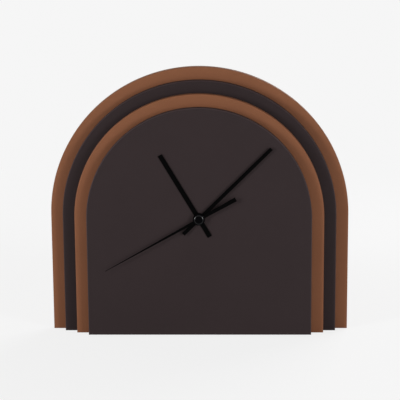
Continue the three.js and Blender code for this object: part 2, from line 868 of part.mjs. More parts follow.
// The other contact has a bowed spring and a strip along the bay's top wall to the circuit board.
function negativeContact() {
  const left = -insideHalf;
  const right = left + contactThickness;
  const half = contactWidth / 2;
  const middle = batteryPlace.y;
  const crest = right + springDepth;
  const spring = new THREE.Shape();
  spring.moveTo(left, middle - half);
  spring.lineTo(right, middle - half);
  spring.lineTo(crest, middle);
  spring.lineTo(right + contactThickness, middle + half);
  spring.lineTo(right, middle + half);
  spring.lineTo(crest - contactThickness, middle);
  spring.lineTo(left, middle - half + contactThickness);
  const tail = contactTailWidth / 2;
  const strip = block(
    left,
    bayWallTop + runningGap,
    circuitMiddle,
    bayWallTop + runningGap + contactThickness,
    circuitFront - tail,
    circuitFront,
  );
  const leaf = slab(spring, batteryDepth - tail, batteryDepth + tail);
  return join(...contactPlate(left, right), leaf, strip);
}

// A flat hand from its tail to its tip, with a boss round the hole for its tube.
function hand(outline, thickness, bossWall, tubeRadius, bossBack, front) {
  const holeRadius = tubeRadius + fitGap;
  const blade = slab(outline, front - thickness, front);
  const boss = rod(holeRadius + bossWall, bossBack, front);
  return cut(join(blade, boss), rod(holeRadius, bossBack - bossLength, front + bossLength));
}

function hourHand() {
  const half = hourWidth / 2;
  const outline = rectangle(-half, -hourTail, half, hourLength);
  return hand(outline, handThickness, hourBossWall, hourTubeRadius, hourBossBack, hourFront);
}

function minuteHand() {
  const half = minuteWidth / 2;
  const outline = rectangle(-half, -minuteTail, half, minuteLength);
  return hand(outline, handThickness, minuteBossWall, minuteTubeRadius, minuteBossBack, minuteFront);
}

// The second hand narrows to its tip and widens towards its tail.
function secondHand() {
  const outline = new THREE.Shape();
  outline.moveTo(-secondTailWidth / 2, -secondTail);
  outline.lineTo(secondTailWidth / 2, -secondTail);
  outline.lineTo(secondHubWidth / 2, 0);
  outline.lineTo(secondTipWidth / 2, secondLength);
  outline.lineTo(-secondTipWidth / 2, secondLength);
  outline.lineTo(-secondHubWidth / 2, 0);
  return hand(outline, secondHandThickness, secondBossWall, secondArborRadius, secondBossBack, secondFront);
}

// Round cap with a bevelled rim and a flange at its back.
function hubCap() {
  return turned([
    [0, secondFront],
    [capRadius + capFlange, secondFront],
    [capRadius + capFlange, secondFront + capFlangeThickness],
    [capRadius, secondFront + capFlangeThickness],
    [capRadius, capFront - capBevelDepth],
    [capRadius - capBevelWidth, capFront],
    [0, capFront],
  ]);
}

const clock = new THREE.Group();
const dial = new THREE.Group();
const movement = new THREE.Group();
const depthBehind = Math.max(-boardsBack, -knobBack);
dial.rotation.x = Math.PI / 2;
dial.position.y = (capFront - depthBehind) / 2;
movement.position.y = shaftHeight;
clock.add(dial);
dial.add(movement);

function add(parent, name, geometry, material, place = shaftPlace) {
  const mesh = new THREE.Mesh(geometry, material);
  mesh.name = name;
  mesh.position.set(place.x, place.y, 0);
  parent.add(mesh);
  return mesh;
}

// A hand is made upright and turned clockwise to its angle.
function addHand(name, geometry, angle) {
  add(movement, name, geometry, materials.black).rotation.z = -THREE.MathUtils.degToRad(angle);
}

["front_panel", "third_panel", "second_panel", "rear_panel"].forEach((name, index) => {
  add(dial, name, panel(index), index % 2 ? materials.brown : materials.dark);
});
screwPlaces.forEach((place, index) => {
  const screw = screwSolid(place, 0, boardsBack + screwSink);
  add(dial, `panel_screw_${index + 1}`, screw, materials.steel);
});

add(movement, "movement_gasket", gasket(), materials.rubber);
add(movement, "shaft_washer", washer(), materials.blackMetal);
add(movement, "shaft_nut", nut(), materials.blackMetal);
add(movement, "movement_case", movementCase(), materials.casePlastic);
add(movement, "gear_plate", gearPlate(), materials.whitePlastic);
add(movement, "movement_cover", movementCover(), materials.casePlastic);
add(movement, "hour_wheel", hourWheel(), materials.whitePlastic);
add(movement, "minute_arbor", minuteArbor(), materials.brass);
add(movement, "centre_wheel", centreWheel(), materials.whitePlastic);
add(movement, "second_wheel", secondWheel(), materials.whitePlastic);
add(movement, "third_wheel", thirdWheel(), materials.whitePlastic, thirdPlace);
add(movement, "intermediate_wheel", intermediateWheel(), materials.whitePlastic, intermediatePlace);
add(movement, "rotor", rotor(), materials.ferrite, rotorPlace);
add(movement, "transfer_wheel", transferWheel(), materials.whitePlastic, transferPlace);
add(movement, "setting_knob", settingKnob(), materials.whitePlastic, transferPlace);
add(movement, "stator", stator(), materials.steel);
add(movement, "coil_core", coilCore(), materials.steel);
add(movement, "coil_bobbin", coilBobbin(), materials.whitePlastic);
add(movement, "coil_winding", coilWinding(), materials.copper);
add(movement, "circuit_board", circuitBoard(), materials.circuit);
add(movement, "circuit_chip", circuitChip(), materials.casePlastic);
add(movement, "quartz_crystal", quartzCrystal(), materials.steel);
add(movement, "battery_cell", batteryCell(), materials.batteryJacket);
add(movement, "positive_contact", positiveContact(), materials.steel);
add(movement, "negative_contact", negativeContact(), materials.steel);
addHand("hour_hand", hourHand(), hourAngle);
addHand("minute_hand", minuteHand(), minuteAngle);
addHand("second_hand", secondHand(), secondAngle);
add(movement, "hub_cap", hubCap(), materials.black);

export default clock;
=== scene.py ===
import json
import math

import bmesh
import bpy
from mathutils import Color, Matrix, Vector

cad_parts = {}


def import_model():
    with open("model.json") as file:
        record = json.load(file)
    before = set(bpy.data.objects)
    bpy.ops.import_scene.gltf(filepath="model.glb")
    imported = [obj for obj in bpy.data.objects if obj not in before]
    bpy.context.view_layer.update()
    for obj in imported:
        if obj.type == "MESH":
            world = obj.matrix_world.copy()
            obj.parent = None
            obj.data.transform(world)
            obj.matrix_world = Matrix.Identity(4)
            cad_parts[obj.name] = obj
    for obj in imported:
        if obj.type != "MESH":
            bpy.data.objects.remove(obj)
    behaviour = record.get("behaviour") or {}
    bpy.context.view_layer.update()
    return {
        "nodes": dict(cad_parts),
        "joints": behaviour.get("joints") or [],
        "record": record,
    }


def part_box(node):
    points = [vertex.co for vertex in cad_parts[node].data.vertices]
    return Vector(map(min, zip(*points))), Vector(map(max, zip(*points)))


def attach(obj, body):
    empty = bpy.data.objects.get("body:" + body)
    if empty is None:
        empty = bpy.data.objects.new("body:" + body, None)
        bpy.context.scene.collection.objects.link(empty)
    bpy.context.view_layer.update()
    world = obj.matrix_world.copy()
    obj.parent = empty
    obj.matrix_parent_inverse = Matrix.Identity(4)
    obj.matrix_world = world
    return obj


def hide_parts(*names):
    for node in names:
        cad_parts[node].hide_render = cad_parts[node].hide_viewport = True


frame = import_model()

# Units, the smallest distances that count, and the reach of cutting bodies past what they cut
MM = 0.001
QUARTER = math.pi / 2
TINY = 0.001 * MM
WELD_GAP = 0.0001 * MM
CUT_REACH = 40 * MM

# Steps of round shapes
ARCH_STEPS = 144
EDGE_STEPS = 5
CORNER_STEPS = 8
PROFILE_STEPS = 4
ROLL_STEPS = 6
SMALL_STEPS = 3
CAP_STEPS = 96
ROUND_STEPS = 64
SCREW_STEPS = 48
PAD_STEPS = 40
ROD_STEPS = 32
ARROW_STEPS = 24
CRADLE_STEPS = 16
SOFTEN_STEPS = 2

# Corners, in degrees, from which edges are rounded and from which the shading is sharp
SOFTEN_ANGLE = 40
CONTACT_ANGLE = 30
SHARP_ANGLE = 35

# Boards
EDGE_ROUND = 0.75 * MM
EDGE_MARGIN = 0.015 * MM
# Name of the mark on the eased edges of the boards that carries the painted highlight
HIGHLIGHT_EDGE_MARK = "edge"
WINDOW_GAP = 1 * MM
WINDOW_CORNER = 4 * MM
WINDOW_CHAMFER = 0.5 * MM
SHAFT_HOLE_RADIUS = 4 * MM
NUT_SEAT_GAP = 0.15 * MM

# Screws
SCREW_RADIUS = 1.5 * MM
SCREW_RIM = 0.3 * MM
SCREW_HEAD_HEIGHT = 1.5 * MM
SCREW_TIP = 2 * MM
SCREW_TIP_RADIUS = 0.1 * MM
SCREW_GAP = 0.3 * MM
SCREW_ROUND = 0.12 * MM
CROSS_LENGTH = 3.4 * MM
CROSS_WIDTH = 0.75 * MM
CROSS_DEPTH = 0.9 * MM
CROSS_CORNER = 0.19 * MM
CROSS_EASE = 0.06 * MM

# Hands, measured from the shaft, with angles in degrees clockwise from twelve
HAND_THICKNESS = 0.4 * MM
SECOND_THICKNESS = 0.25 * MM
HAND_EASE = 0.07 * MM
HOUR_LENGTH = 60 * MM
HOUR_TAIL = 17 * MM
HOUR_WIDTH = 3.8 * MM
HOUR_BOSS = 4.7 * MM
HOUR_BORE = 2.6 * MM
HOUR_ANGLE = 329.4
MINUTE_LENGTH = 81 * MM
MINUTE_TAIL = 17.6 * MM
MINUTE_WIDTH = 2.9 * MM
MINUTE_BOSS = 3.4 * MM
MINUTE_BORE = 1.7 * MM
MINUTE_ANGLE = 45.3
SECOND_LENGTH = 86.5 * MM
SECOND_TAIL = 33.8 * MM
SECOND_TIP_WIDTH = 0.4 * MM
SECOND_HUB_WIDTH = 2.4 * MM
SECOND_TAIL_WIDTH = 3.5 * MM
SECOND_BOSS = 1.5 * MM
SECOND_BORE = 0.55 * MM
SECOND_ANGLE = 240.6

# Cap, nut and washer
CAP_RADIUS = 3.7 * MM
CAP_BEVEL_WIDTH = 0.65 * MM
CAP_BEVEL_DEPTH = 0.33 * MM
CAP_FLANGE_THICKNESS = 0.4 * MM
CAP_ROUND = 0.12 * MM
CAP_RING_GAP = 0.01 * MM
CAP_RING_ROUND = 0.06 * MM
NUT_BORE = 3.75 * MM
NUT_ROUND = 0.18 * MM
NUT_SLOT_WIDTH = 1.2 * MM
NUT_SLOT_DEPTH = 0.6 * MM
WASHER_ROUND = 0.08 * MM

# Movement case and cover
CASE_WALL = 1.2 * MM
CASE_CORNER = 3 * MM
CASE_EASE = 0.35 * MM
COVER_EASE = 0.3 * MM
RUNNING_GAP = 0.15 * MM
BUSH_RADIUS = 3.6 * MM
BUSH_BORE = 2.65 * MM
POST_RADIUS = 1.8 * MM
POST_INSET = 2.4 * MM
PIN_RADIUS = 0.8 * MM
PIVOT_HOLE = 0.5 * MM
ARBOR_HOLE = 0.6 * MM
KNOB_ARBOR_HOLE = 0.9 * MM
PIVOT_DEPTH = 0.95 * MM
CRADLE_THICKNESS = 1.2 * MM
CRADLE_SPREAD = 15 * MM
CRADLE_GAP = 0.25 * MM

# Setting knob and its well
KNOB_RIBS = 24
KNOB_RIB_DEPTH = 0.4 * MM
KNOB_RIB_STEPS = 8
KNOB_RIB_POWER = 1.5
KNOB_RIB_TOP = 0.8
KNOB_EASE = 0.35 * MM
KNOB_SHOULDER = 0.1 * MM
KNOB_LIP_RADIUS = 4.2 * MM
KNOB_DISH_RADIUS = 3.75 * MM
KNOB_DISH_DEPTH = 0.35 * MM
KNOB_BUTTON_FOOT = 1.4 * MM
KNOB_BUTTON_FOOT_DEPTH = 0.45 * MM
KNOB_BUTTON_RADIUS = 1.1 * MM
KNOB_BUTTON_DEPTH = 0.2 * MM
KNOB_MIDDLE_RADIUS = 0.3 * MM
KNOB_MIDDLE_DEPTH = 0.15 * MM
KNOB_END = 1 * MM
KNOB_BORE = 0.85 * MM
WELL_GAP = 0.6 * MM
WELL_RIM_WIDTH = 0.9 * MM
WELL_RIM_HEIGHT = 0.35 * MM

# Raised and sunk detail of the cover, with the ends of the arrow in degrees
DETAIL_HEIGHT = 0.3 * MM
DETAIL_SINK = 0.3 * MM
DETAIL_EASE = 0.1 * MM
ARROW_RADIUS = 9.2 * MM
ARROW_WIDTH = 0.9 * MM
ARROW_HEAD = 2.6 * MM
ARROW_BARB = 1.17 * MM
ARROW_START = 25
ARROW_END = 140
PAD_RADIUS = 2.2 * MM
PAD_CHAMFER = 0.15 * MM
PAD_DIMPLE_RADIUS = 0.73 * MM
PAD_DIMPLE_FLOOR = 0.55 * MM
PANEL_LEFT = 4 * MM
PANEL_RISE = 3.89 * MM
PANEL_WIDTH = 20 * MM
PANEL_HEIGHT = 9 * MM
PANEL_CORNER = 1 * MM
PANEL_SINK = 0.25 * MM
LATCH_WIDTH = 5 * MM
LATCH_DEPTH = 1.6 * MM
LATCH_SINK = 0.5 * MM
LATCH_SPREAD = 15.4 * MM

# Battery and its contacts
CONTACT_EASE = 0.08 * MM
NUB_LENGTH = 1.3 * MM
NUB_RADIUS = 2.75 * MM
BATTERY_ROLL = 0.7 * MM
BATTERY_LIP = 1.35 * MM
BATTERY_LIP_DEPTH = 0.3 * MM
BATTERY_END_RADIUS = 5.7 * MM
BATTERY_END_DEPTH = 0.6 * MM
BASE_EDGE_DEPTH = 0.12 * MM
BASE_RIM_RADIUS = 4.9 * MM
BASE_RIM_DEPTH = 0.02 * MM
BASE_DISH_RADIUS = 4.56 * MM
BASE_DISH_DEPTH = 0.14 * MM
BASE_MIDDLE_DEPTH = 0.1 * MM
TOP_EDGE_DEPTH = 0.15 * MM
NUB_FOOT_RADIUS = 3.7 * MM
NUB_FOOT_DEPTH = 0.1 * MM
NUB_ROUND = 0.35 * MM
END_MIDDLE_RADIUS = 0.5 * MM
BATTERY_BAND = 11 * MM

# Materials: sizes and heights of their features, and how much these change the colour and the gloss
NOISE_LOW = 0.3
NOISE_HIGH = 0.7
PAINT_SPECULAR = 0.12
PAINT_CLOUD_SIZE = 45 * MM
PAINT_CLOUDINESS = 0.04
PAINT_SPECK_SIZE = 0.7 * MM
PAINT_SPECK_SHARE = 0.16
PAINT_SPECK_GAIN = 1.3
PAINT_SHEEN_SIZE = 9 * MM
PAINT_ROUGHNESS = 0.55
PAINT_ROUGHNESS_SPREAD = 0.05
PAINT_STIPPLE_SIZE = 1.5 * MM
PAINT_STIPPLE_HEIGHT = 0.05 * MM
PAINT_GRAIN_SIZE = 0.4 * MM
PAINT_GRAIN_HEIGHT = 0.012 * MM
PAINT_BUMP = 0.35
LACQUER_GRAIN_SIZE = 0.5 * MM
LACQUER_GRAIN_HEIGHT = 0.004 * MM
LACQUER_SHEEN_SIZE = 2 * MM
LACQUER_VARIATION = 0.3
LACQUER_ROUGHNESS_SPREAD = 0.05
LACQUER_BUMP = 0.3
PLASTIC_SPECULAR = 0.4
PLASTIC_TONE_SIZE = 6 * MM
PLASTIC_VARIATION = 0.15
PLASTIC_SHEEN_SIZE = 1.2 * MM
PLASTIC_ROUGHNESS_SPREAD = 0.06
PLASTIC_GRAIN_SIZE = 0.35 * MM
PLASTIC_GRAIN_HEIGHT = 0.012 * MM
PLASTIC_BUMP = 0.5
METAL_LINE_SIZE = 0.25 * MM
METAL_LINE_HEIGHT = 0.004 * MM
METAL_VARIATION = 0.13
METAL_ROUGHNESS_SPREAD = 0.08
METAL_BUMP = 0.4
FOIL_TONE_SIZE = 8 * MM
FOIL_VARIATION = 0.1
FOIL_BAND_EDGE = 0.05 * MM
FOIL_SHEEN_SIZE = 3 * MM
FOIL_ROUGHNESS = 0.29
FOIL_ROUGHNESS_SPREAD = 0.05
FOIL_WRINKLE_SIZE = 5 * MM
FOIL_WRINKLE_HEIGHT = 0.02 * MM
FOIL_BUMP = 0.2

# Place of the camera from the middle of the base and the rear board's front face
CAMERA_RIGHT = 31.3 * MM
CAMERA_AHEAD = 1264.33 * MM
CAMERA_HEIGHT = 397.19 * MM

# Turns of the camera to the left, down and about its axis, in degrees
CAMERA_HEADING = 1.3945
CAMERA_PITCH = 12.8824
CAMERA_ROLL = -0.4191

# Lens and sensor of the camera, in millimetres, and the range that it sees, in metres
CAMERA_LENS = 144.985
CAMERA_SENSOR = 36
CAMERA_NEAR = 0.05
CAMERA_FAR = 60

# Stage and light, with distances in metres
FLOOR_HALF = 8
FLOOR_DROP = 0.02 * MM
PALE = 0.92
FLOOR_GLOW = 0.79
FLOOR_NEAR = 0.2
FLOOR_FAR = 0.7
FLOOR_ROUGHNESS = 0.9
FILL = 0.17
LAMP_DISTANCE = 1.3

# Lamps: name, degrees to the right of the front, degrees up, width and height in metres, and radiance
LAMPS = (
    ("left_softbox", -55, 11, 0.24, 0.62, 20.2),
    ("right_softbox", 49, 11, 0.34, 0.62, 11.4),
    ("rear_softbox", 145, 28, 0.9, 0.6, 5.2),
)

# From the frame: points on the axes of the wheels and the knob, the material slots and the screws
JOINTS = {joint["name"]: Vector(joint["pos_m"]) for joint in frame["joints"] if "pos_m" in joint}
SHAFT = JOINTS["minute_hand_turn"]
KNOB = JOINTS["setting_knob_turn"]
THIRD = JOINTS["third_wheel_turn"]
BEARINGS = [SHAFT, THIRD, JOINTS["intermediate_wheel_turn"], JOINTS["rotor_turn"]]
SLOTS = {part["node"]: part["material_slot"] for part in frame["record"]["subparts"]}
SCREWS = sorted(node for node in SLOTS if node.startswith("panel_screw_"))


# Angles at equal steps round a circle.
def full_turn(steps):
    return [2 * math.pi * i / steps for i in range(steps)]


# Outlines are lists of 2D points, x to the right and z up, that run anticlockwise seen from the front.
def arc(middle, radius, start, end, steps):
    turns = [start + (end - start) * i / steps for i in range(steps + 1)]
    return [Vector(middle) + radius * Vector((math.cos(t), math.sin(t))) for t in turns]


def rectangle(left, bottom, right, top):
    return [Vector(p) for p in ((left, bottom), (right, bottom), (right, top), (left, top))]


def rounded_rectangle(left, bottom, right, top, corner, steps=CORNER_STEPS):
    middles = [
        (right - corner, bottom + corner),
        (right - corner, top - corner),
        (left + corner, top - corner),
        (left + corner, bottom + corner),
    ]
    points = []
    for i, middle in enumerate(middles):
        points += arc(middle, corner, (i - 1) * QUARTER, i * QUARTER, steps)
    return points


def arch(radius, centre_height):
    foot = [Vector((-radius, 0)), Vector((radius, 0))]
    return foot + arc((0, centre_height), radius, 0, math.pi, ARCH_STEPS)


def inward(a, b):
    along = (b - a).normalized()
    return Vector((-along.y, along.x))


# An outline moved inwards by a distance.
def inset(points, distance):
    moved = []
    for i, here in enumerate(points):
        first = inward(points[i - 1], here)
        middle = (first + inward(here, points[(i + 1) % len(points)])).normalized()
        moved.append(here + middle * (distance / middle.dot(first)))
    return moved


# A polyline with its inner corners rounded.
def rounded_profile(points, radius, steps=PROFILE_STEPS):
    points = [Vector(p) for p in points]
    result = [points[0]]
    for before, here, after in zip(points, points[1:], points[2:]):
        a = (before - here).normalized()
        b = (after - here).normalized()
        half = a.angle(b) / 2
        reach = min(radius / math.tan(half), (before - here).length / 2, (after - here).length / 2)
        start = here + a * reach
        end = here + b * reach
        for i in range(steps + 1):
            t = i / steps
            result.append((1 - t) ** 2 * start + 2 * t * (1 - t) * here + t ** 2 * end)
    return result + [points[-1]]


# A closed profile with its corners rounded, which starts in the middle of its last side.
def rounded_loop(corners, radius):
    middle = (Vector(corners[-1]) + Vector(corners[0])) / 2
    return rounded_profile([middle, *corners, middle], radius)[:-1]


# A closed body through loops of equally many points, capped at both ends or joined end to end.
def loft(loops, ring=False):
    bm = bmesh.new()
    rows = [[bm.verts.new(p) for p in loop] for loop in loops]
    pairs = list(zip(rows, rows[1:]))
    if ring:
        pairs.append((rows[-1], rows[0]))
    else:
        bm.faces.new(rows[0])
        bm.faces.new(rows[-1])
    for a, b in pairs:
        for i in range(len(a)):
            j = (i + 1) % len(a)
            bm.faces.new((a[i], a[j], b[j], b[i]))
    bmesh.ops.recalc_face_normals(bm, faces=bm.faces)
    return bm


# A body through an outline that is moved inwards by a distance at each depth.
def stacked(points, stations):
    return loft([[(p.x, depth, p.y) for p in inset(points, move)] for move, depth in stations])


# A flat body between two depths, with its front and back edges rounded.
def prism(points, front, back, ease_front=0.0, ease_back=0.0, steps=EDGE_STEPS):
    def rounding(face, ease, sense):
        if ease == 0:
            return [(0.0, face)]
        turns = [QUARTER * i / steps for i in range(steps + 1)]
        return [(ease * (1 - math.sin(t)), face + sense * ease * (1 - math.cos(t))) for t in turns]

    return stacked(points, rounding(front, ease_front, 1) + rounding(back, ease_back, -1)[::-1])


# A profile of (radius, depth) points turned about a line along y.
def turned(profile, place=SHAFT, steps=ROUND_STEPS, ring=False):
    turns = full_turn(steps)
    loops = []
    for radius, depth in profile:
        loop = [(place.x + radius * math.cos(t), depth, place.z + radius * math.sin(t)) for t in turns]
        loops.append(loop)
    return loft(loops, ring)


# A profile of (radius, x) points turned about a line along x.
def turned_across(profile, place):
    turns = full_turn(ROUND_STEPS)
    loops = []
    for radius, x in profile:
        loop = [(x, place.y + radius * math.cos(t), place.z + radius * math.sin(t)) for t in turns]
        loops.append(loop)
    return loft(loops)


def new_object(name, bm):
    mesh = bpy.data.meshes.new(name)
    bm.to_mesh(mesh)
    bm.free()
    piece = bpy.data.objects.new(name, mesh)
    bpy.context.scene.collection.objects.link(piece)
    return piece


# Turns the result of a piece's modifiers into its mesh.
def settle(piece):
    graph = bpy.context.evaluated_depsgraph_get()
    mesh = bpy.data.meshes.new_from_object(piece.evaluated_get(graph))
    piece.modifiers.clear()
    piece.data = mesh


def combine(piece, operation, bodies):
    tools = [new_object("tool", bm) for bm in bodies]
    for tool in tools:
        modifier = piece.modifiers.new("combine", "BOOLEAN")
        modifier.operation = operation
        modifier.solver = "EXACT"
        modifier.object = tool
    settle(piece)
    for tool in tools:
        bpy.data.objects.remove(tool)


def cut(piece, *bodies):
    combine(piece, "DIFFERENCE", bodies)


def join(piece, *bodies):
    combine(piece, "UNION", bodies)


# Rounds the sharp edges of a piece.
def soften(piece, width, angle=SOFTEN_ANGLE):
    modifier = piece.modifiers.new("soften", "BEVEL")
    modifier.width = width
    modifier.segments = SOFTEN_STEPS
    modifier.limit_method = "ANGLE"
    modifier.angle_limit = math.radians(angle)
    settle(piece)


# Smooth shading with sharp corners, and flat faces kept flat.
def shade(piece):
    for polygon in piece.data.polygons:
        polygon.use_smooth = True
    piece.data.set_sharp_from_angle(angle=math.radians(SHARP_ANGLE))
    weighted = piece.modifiers.new("weighted", "WEIGHTED_NORMAL")
    weighted.keep_sharp = True


# Gives a piece its material and its body, and lets it stand for CAD nodes.
def dress(piece, slot, body, *nodes, look=None):
    shade(piece)
    piece.data.materials.clear()
    piece.data.materials.append(look or LOOKS[slot])
    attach(piece, body)
    if nodes:
        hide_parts(*nodes)


# A screen colour, with channels from 0 to 255, as the linear values that shaders take.
def linear(*channels):
    return tuple(Color([c / 255 for c in channels]).from_srgb_to_scene_linear())


def scaled(colour, factor):
    return tuple(min(1.0, c * factor) for c in colour)


# A material's node tree, with short ways to add and join its nodes.
class Look:
    def __init__(self, name, metallic=0.0, specular=0.5):
        self.material = bpy.data.materials.new(name)
        self.material.use_nodes = True
        self.nodes = self.material.node_tree.nodes
        self.links = self.material.node_tree.links
        self.shader = self.nodes["Principled BSDF"]
        self.shader.inputs["Metallic"].default_value = metallic
        self.shader.inputs["Specular IOR Level"].default_value = specular
        self.place = self.nodes.new("ShaderNodeTexCoord").outputs["Object"]

    def link(self, source, target):
        self.links.new(source, target)

    # Noise with features of about the size given, stretched along the axes by the factors in stretch.
    def noise(self, size, detail=2.0, stretch=(1, 1, 1)):
        node = self.nodes.new("ShaderNodeTexNoise")
        node.inputs["Scale"].default_value = 1 / size
        node.inputs["Detail"].default_value = detail
        mapping = self.nodes.new("ShaderNodeMapping")
        mapping.inputs["Scale"].default_value = [1 / s for s in stretch]
        self.link(self.place, mapping.inputs["Vector"])
        self.link(mapping.outputs["Vector"], node.inputs["Vector"])
        return node.outputs["Fac"]

    # The place along one axis, in metres.
    def along(self, axis):
        node = self.nodes.new("ShaderNodeSeparateXYZ")
        self.link(self.place, node.inputs["Vector"])
        return node.outputs[axis]

    # Turns a value between two limits into a value between two others.
    def remap(self, value, low, high, start, end):
        node = self.nodes.new("ShaderNodeMapRange")
        node.inputs["From Min"].default_value = low
        node.inputs["From Max"].default_value = high
        node.inputs["To Min"].default_value = start
        node.inputs["To Max"].default_value = end
        self.link(value, node.inputs["Value"])
        return node.outputs["Result"]

    # Mixes two colours, each a colour or a socket, by a factor.
    def mix(self, factor, first, second):
        node = self.nodes.new("ShaderNodeMix")
        node.data_type = "RGBA"
        self.link(factor, node.inputs["Factor"])
        for name, colour in (("A", first), ("B", second)):
            socket = next(s for s in node.inputs if s.name == name and s.type == "RGBA")
            if isinstance(colour, bpy.types.NodeSocket):
                self.link(colour, socket)
            else:
                socket.default_value = (*colour, 1)
        return next(s for s in node.outputs if s.type == "RGBA")

    # Spreads a noise, which lies mostly between two limits, over two values.
    def spread(self, noise, start, end):
        return self.remap(noise, NOISE_LOW, NOISE_HIGH, start, end)

    # A colour made darker and lighter by a share.
    def varied(self, factor, colour, share):
        return self.mix(factor, scaled(colour, 1 - share), scaled(colour, 1 + share))

    def attribute(self, name):
        node = self.nodes.new("ShaderNodeAttribute")
        node.attribute_name = name
        return node.outputs["Fac"]

    def colour(self, value):
        self.link(value, self.shader.inputs["Base Color"])

    # A roughness that a noise varies about its middle.
    def rough(self, noise, middle, either_way):
        value = self.spread(noise, middle - either_way, middle + either_way)
        self.link(value, self.shader.inputs["Roughness"])

    # Adds a height to the surface, on top of what was added before.
    def bump(self, height, distance, strength):
        node = self.nodes.new("ShaderNodeBump")
        node.inputs["Distance"].default_value = distance
        node.inputs["Strength"].default_value = strength
        self.link(height, node.inputs["Height"])
        shader_normal = self.shader.inputs["Normal"]
        if shader_normal.is_linked:
            self.link(shader_normal.links[0].from_socket, node.inputs["Normal"])
        self.link(node.outputs["Normal"], shader_normal)


# Rolled satin paint: faint cloudiness, a fine stipple, and a painted highlight, a lighter line of
# colour where the edges are eased.
def paint(name, colour, highlight_gain):
    look = Look(name, specular=PAINT_SPECULAR)
    clouds = look.spread(look.noise(PAINT_CLOUD_SIZE, detail=3), 0, 1)
    specks = look.spread(look.noise(PAINT_SPECK_SIZE), 0, PAINT_SPECK_SHARE)
    coat = look.varied(clouds, colour, PAINT_CLOUDINESS)
    body = look.mix(specks, coat, scaled(colour, PAINT_SPECK_GAIN))
    # Painted highlight: the coat is made lighter on the marked eased edges
    look.colour(look.mix(look.attribute(HIGHLIGHT_EDGE_MARK), body, scaled(colour, highlight_gain)))
    look.rough(look.noise(PAINT_SHEEN_SIZE, detail=3), PAINT_ROUGHNESS, PAINT_ROUGHNESS_SPREAD)
    look.bump(look.noise(PAINT_STIPPLE_SIZE), PAINT_STIPPLE_HEIGHT, PAINT_BUMP)
    look.bump(look.noise(PAINT_GRAIN_SIZE, detail=1), PAINT_GRAIN_HEIGHT, PAINT_BUMP)
    return look.material


# Lacquered metal with a faint grain.
def lacquer(name, colour, roughness, specular):
    look = Look(name, specular=specular)
    grain = look.noise(LACQUER_GRAIN_SIZE)
    look.colour(look.varied(grain, colour, LACQUER_VARIATION))
    look.rough(look.noise(LACQUER_SHEEN_SIZE), roughness, LACQUER_ROUGHNESS_SPREAD)
    look.bump(grain, LACQUER_GRAIN_HEIGHT, LACQUER_BUMP)
    return look.material


# Plastic, rubber, resin or ferrite with the fine texture of its mould.
def plastic(name, colour, roughness):
    look = Look(name, specular=PLASTIC_SPECULAR)
    look.colour(look.varied(look.noise(PLASTIC_TONE_SIZE, detail=3), colour, PLASTIC_VARIATION))
    look.rough(look.noise(PLASTIC_SHEEN_SIZE), roughness, PLASTIC_ROUGHNESS_SPREAD)
    look.bump(look.noise(PLASTIC_GRAIN_SIZE), PLASTIC_GRAIN_HEIGHT, PLASTIC_BUMP)
    return look.material


# Bare or plated metal with fine drawn lines, stretched along the axes by the factors in drawn.
def metal(name, colour, roughness, drawn=(1, 1, 1)):
    look = Look(name, metallic=1.0)
    lines = look.noise(METAL_LINE_SIZE, detail=3, stretch=drawn)
    look.colour(look.varied(lines, colour, METAL_VARIATION))
    look.rough(lines, roughness, METAL_ROUGHNESS_SPREAD)
    look.bump(lines, METAL_LINE_HEIGHT, METAL_BUMP)
    return look.material


# Plain foil sleeve of the cell, with a pale band at the end with the nub.
def foil(name, colour, band):
    look = Look(name)
    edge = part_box("battery_cell")[1].x - BATTERY_BAND
    body = look.varied(look.noise(FOIL_TONE_SIZE), colour, FOIL_VARIATION)
    share = look.remap(look.along("X"), edge - FOIL_BAND_EDGE, edge + FOIL_BAND_EDGE, 0, 1)
    look.colour(look.mix(share, body, band))
    look.rough(look.noise(FOIL_SHEEN_SIZE), FOIL_ROUGHNESS, FOIL_ROUGHNESS_SPREAD)
    look.bump(look.noise(FOIL_WRINKLE_SIZE, detail=1), FOIL_WRINKLE_HEIGHT, FOIL_BUMP)
    return look.material


# Colours of the coats and the cap, and how much lighter a coat is painted on the eased edges as a
# painted highlight
BROWN = linear(127, 82, 57)
DARK = linear(46, 37, 38)
DEEP = linear(42, 33, 34)
CAP_BLACK = linear(4, 4, 5)
BROWN_EDGE_HIGHLIGHT = 1.05
DARK_EDGE_HIGHLIGHT = 1.8

